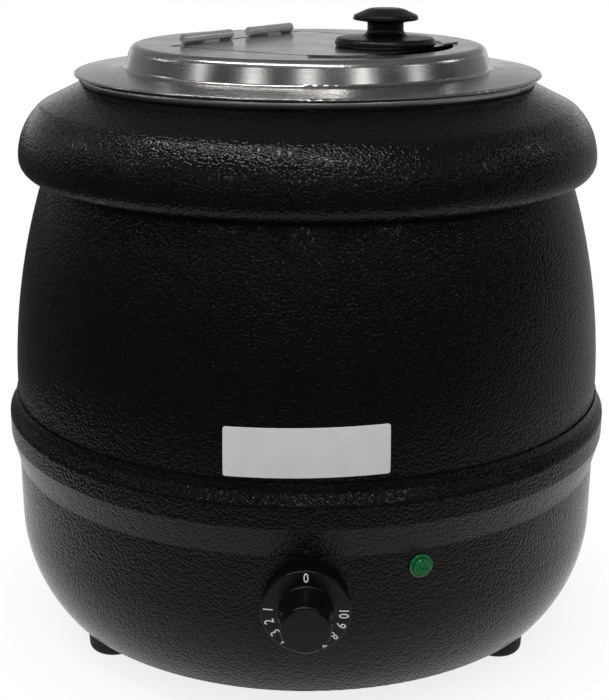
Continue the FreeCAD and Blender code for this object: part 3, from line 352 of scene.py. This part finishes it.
def dress_nodes():
    """Gives every CAD node the finish of its slot, and the rolled hinges a lighter, glossier copy of the
    lid's steel, a painted highlight for the light they catch.
    """
    for row in frame["record"]["subparts"]:
        mesh = frame["nodes"][row["node"]].data
        mesh.materials.clear()
        finish = "lit_hinge_steel" if row["node"].startswith("hinge") else row["material_slot"]
        mesh.materials.append(FINISHES[finish])


def piece(name, shape, finish, body):
    """An object of the scene's own, from a finished bmesh, that rides on a body."""
    mesh = bpy.data.meshes.new(name)
    shape.to_mesh(mesh)
    shape.free()
    mesh.materials.append(FINISHES[finish])
    made = bpy.data.objects.new(name, mesh)
    bpy.context.scene.collection.objects.link(made)
    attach(made, body)
    return made


def skin_radius(node, turn, level):
    """Distance from the axis to a node's outside, at a turn from the front and a height."""
    outward = Vector((math.sin(turn), -math.cos(turn), 0.0))
    start = outward + Vector((0.0, 0.0, level))
    found, point, _, _ = frame["nodes"][node].ray_cast(start, -outward)
    if not found:
        raise ValueError(f"{node} has no skin at height {level}")
    return Vector((point.x, point.y)).length


def bare_plate():
    """Thin plate with rounded corners that lies on the curved barrel."""
    shape = bmesh.new()
    middle = (PLATE_LOW + PLATE_HIGH) / 2
    radius = skin_radius("outer_jacket", 0.0, middle)
    half_width = math.radians(PLATE_HALF_ANGLE) * radius
    half_height = (PLATE_HIGH - PLATE_LOW) / 2
    rows = []
    for j in range(PLATE_ROWS + 1):
        v = half_height * math.sin(math.pi * (j / PLATE_ROWS - 0.5))
        over = max(0.0, abs(v) - (half_height - PLATE_CORNER))
        inset = PLATE_CORNER - math.sqrt(max(0.0, PLATE_CORNER**2 - over**2))
        row = []
        for i in range(PLATE_COLUMNS + 1):
            u = (half_width - inset) * (2 * i / PLATE_COLUMNS - 1)
            turn = u / radius
            level = middle + v + PLATE_TILT * u
            reach = skin_radius("outer_jacket", turn, level) + PLATE_PROUD
            row.append(shape.verts.new((reach * math.sin(turn), -reach * math.cos(turn), level)))
        rows.append(row)
    for low, high in zip(rows, rows[1:]):
        for a, b, c, d in zip(low, low[1:], high[1:], high):
            shape.faces.new((a, b, c, d))
    plate = piece("bare_plate", shape, "bare_plate", "kettle")
    wall = plate.modifiers.new("thickness", "SOLIDIFY")
    wall.thickness = PLATE_WALL
    wall.offset = -1.0
    edge = plate.modifiers.new("edge", "BEVEL")
    edge.width = PLATE_EDGE
    edge.segments = PLATE_EDGE_STEPS
    edge.angle_limit = math.radians(PLATE_EDGE_ANGLE)


def digit_mesh(text):
    """A number as a flat raised mesh, centred, upright in X and Y."""
    curve = bpy.data.curves.new("digit", "FONT")
    curve.body = text
    curve.align_x = "CENTER"
    curve.align_y = "CENTER"
    curve.size = DIGIT_HEIGHT / DIGIT_CAP
    curve.extrude = DIGIT_PROUD
    holder = bpy.data.objects.new("digit", curve)
    mesh = bpy.data.meshes.new_from_object(holder)
    bpy.data.objects.remove(holder)
    bpy.data.curves.remove(curve)
    return mesh


def dial_numbers():
    """White numbers round the dial's skirt, their tops pointing outward, joined as one print."""
    dial = frame["nodes"]["dial_knob"]
    low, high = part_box("dial_knob")
    centre = Vector(((low.x + high.x) / 2, low.y, (low.z + high.z) / 2))
    inward = Vector((0.0, 1.0, 0.0))
    upright = Matrix.Rotation(math.radians(90), 4, "X")
    narrow = Matrix.Diagonal((DIGIT_NARROW, 1.0, 1.0, 1.0))
    shape = bmesh.new()
    for number in range(LAST_DIGIT + 1):
        lean = math.radians(0.0 if number == 0 else FIRST_STEP + DIGIT_STEP * (number - 1))
        spot = centre + DIGIT_RADIUS * Vector((-math.sin(lean), 0.0, math.cos(lean)))
        found, face, _, _ = dial.ray_cast(spot - DIGIT_SEARCH * inward, inward)
        if not found:
            raise ValueError("the dial has no face under its numbers")
        turn = Matrix.Rotation(-lean, 4, "Y")
        mesh = digit_mesh(str(number))
        mesh.transform(Matrix.Translation(face) @ turn @ upright @ narrow)
        shape.from_mesh(mesh)
        bpy.data.meshes.remove(mesh)
    piece("dial_numbers", shape, "white_print", "dial")


def index_mark():
    """Small printed arrow on the bowl above the dial, pointing down at the numbers."""
    _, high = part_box("dial_knob")
    tip = high.z + INDEX_RISE
    corners = [(0.0, tip), (INDEX_WIDTH / 2, tip + INDEX_HEIGHT), (-INDEX_WIDTH / 2, tip + INDEX_HEIGHT)]
    shape = bmesh.new()
    face = []
    for x, level in corners:
        reach = skin_radius("base_bowl", 0.0, level) + DIGIT_PROUD
        face.append(shape.verts.new((x, -math.sqrt(reach**2 - x**2), level)))
    shape.faces.new(face)
    mark = piece("index_mark", shape, "worn_print", "kettle")
    wall = mark.modifiers.new("ink", "SOLIDIFY")
    wall.thickness = 2 * DIGIT_PROUD


def studio_world():
    """White for the camera, even light for matt surfaces, and a dim room with a backdrop for mirrors."""
    world = bpy.data.worlds.new("studio")
    world.use_nodes = True
    world.cycles.sampling_method = "NONE"
    bpy.context.scene.world = world
    tree = world.node_tree
    path = tree.nodes.new("ShaderNodeLightPath")
    direction = tree.nodes.new("ShaderNodeTexCoord").outputs["Generated"]
    away = add_node(tree, "ShaderNodeSeparateXYZ", {0: direction}).outputs
    behind = rescaled(tree, away["Y"], 0.0, 1.0, *WALL_SIDE)
    under = rescaled(tree, away["Z"], 1.0, 0.0, *WALL_TOP)
    wall = rescaled(tree, math_node(tree, "MULTIPLY", behind, under), DIM_ROOM, WALL)
    ceiling = rescaled(tree, away["Z"], 0.0, CEILING, *CEILING_EDGE)
    room = math_node(tree, "ADD", wall, ceiling)
    low = rescaled(tree, away["Z"], BACKDROP, 0.0, *BACKDROP_TOP)
    straight = rescaled(tree, away["Y"], 0.0, 1.0, *BACKDROP_SIDE)
    reflected = math_node(tree, "MAXIMUM", room, math_node(tree, "MULTIPLY", straight, low))
    unseen = number_between(tree, mirrored(tree, path), AMBIENT, reflected)
    shown = number_between(tree, path.outputs["Is Camera Ray"], unseen, BACKDROP)
    background = tree.nodes["Background"]
    background.inputs["Color"].default_value = WHITE
    tree.links.new(shown, background.inputs["Strength"])


def floor_paint():
    """White for the camera, and for mirrors up to the table's edge, with a matt share for the shadow; beyond
    that edge the matt colour is painted shade, darker to the left.
    """
    paint = bpy.data.materials.new("pale_floor")
    paint.use_nodes = True
    tree = paint.node_tree
    tree.nodes.clear()
    place = tree.nodes.new("ShaderNodeTexCoord").outputs["Object"]
    reach = vector_node(tree, "LENGTH", {0: place}).outputs["Value"]
    white = rescaled(tree, reach, FLOOR_SHADE, 1.0, *SHADOW_EDGE)
    across = add_node(tree, "ShaderNodeSeparateXYZ", {0: place}).outputs["X"]
    # painted shade: further off, the floor's matt colour darkens, most on the left, so the kettle's sides
    # mirror a darker room
    dim = rescaled(tree, across, *FLOOR_PAINTED_SHADE, *FLOOR_ACROSS)
    beyond = rescaled(tree, reach, 0.0, 1.0, *TABLE_EDGE)
    pale = number_between(tree, beyond, FLOOR_PALE, dim)
    path = tree.nodes.new("ShaderNodeLightPath")
    table = math_node(tree, "MULTIPLY", mirrored(tree, path), math_node(tree, "SUBTRACT", 1.0, beyond))
    seen = math_node(tree, "MAXIMUM", path.outputs["Is Camera Ray"], table)
    share = math_node(tree, "MULTIPLY", seen, white)
    matt = add_node(tree, "ShaderNodeBsdfDiffuse", {"Color": pale})
    glow = add_node(tree, "ShaderNodeEmission", {"Color": WHITE, "Strength": BACKDROP})
    mix = add_node(tree, "ShaderNodeMixShader", {0: share, 1: matt.outputs[0], 2: glow.outputs[0]})
    add_node(tree, "ShaderNodeOutputMaterial", {"Surface": mix.outputs[0]})
    return paint


def floor():
    """Pale floor that keeps a soft shadow near the kettle and fades into the white behind it, with painted
    shade in its colour further off.
    """
    mesh = bpy.data.meshes.new("floor")
    corners = [
        (-FLOOR_SIDE, FLOOR_FRONT, 0.0),
        (FLOOR_SIDE, FLOOR_FRONT, 0.0),
        (FLOOR_SIDE, FLOOR_BACK, 0.0),
        (-FLOOR_SIDE, FLOOR_BACK, 0.0),
    ]
    mesh.from_pydata(corners, [], [(0, 1, 2, 3)])
    mesh.materials.append(floor_paint())
    ground = bpy.data.objects.new("floor", mesh)
    bpy.context.scene.collection.objects.link(ground)


def lamp_row(name, turns, rise, size, power):
    """Soft lamps on an arc in front of the kettle, aimed at it."""
    target = Vector((0.0, 0.0, LAMP_LEVEL))
    rise = math.radians(rise)
    for degrees in turns:
        turn = math.radians(degrees)
        light = bpy.data.lights.new(name, "AREA")
        light.shape = "RECTANGLE"
        light.size, light.size_y = size
        light.energy = power
        lamp = bpy.data.objects.new(name, light)
        out = Vector((math.cos(rise) * math.sin(turn), -math.cos(rise) * math.cos(turn), math.sin(rise)))
        lamp.location = target + LAMP_AWAY * out
        lamp.rotation_euler = (-out).to_track_quat("-Z", "Y").to_euler()
        bpy.context.scene.collection.objects.link(lamp)


def camera():
    """Camera at the photograph's viewing angle."""
    view = bpy.data.cameras.new("camera")
    view.lens = CAMERA_LENS
    view.sensor_width = CAMERA_SENSOR
    made = bpy.data.objects.new("camera", view)
    turn = Euler((math.radians(90 - CAMERA_PITCH), 0.0, 0.0)).to_matrix()
    turn = turn @ Matrix.Rotation(math.radians(CAMERA_ROLL), 3, "Z")
    made.matrix_world = Matrix.Translation(CAMERA_AT) @ turn.to_4x4()
    bpy.context.scene.collection.objects.link(made)
    bpy.context.scene.camera = made


dress_nodes()
bare_plate()
dial_numbers()
index_mark()
studio_world()
floor()
lamp_row("arc_lamp", ARC_TURNS, ARC_RISE, ARC_SIZE, ARC_POWER)
lamp_row("tube_lamp", TUBE_TURNS, TUBE_RISE, TUBE_SIZE, TUBE_POWER)
camera()
bpy.context.scene.view_settings.view_transform = "Standard"
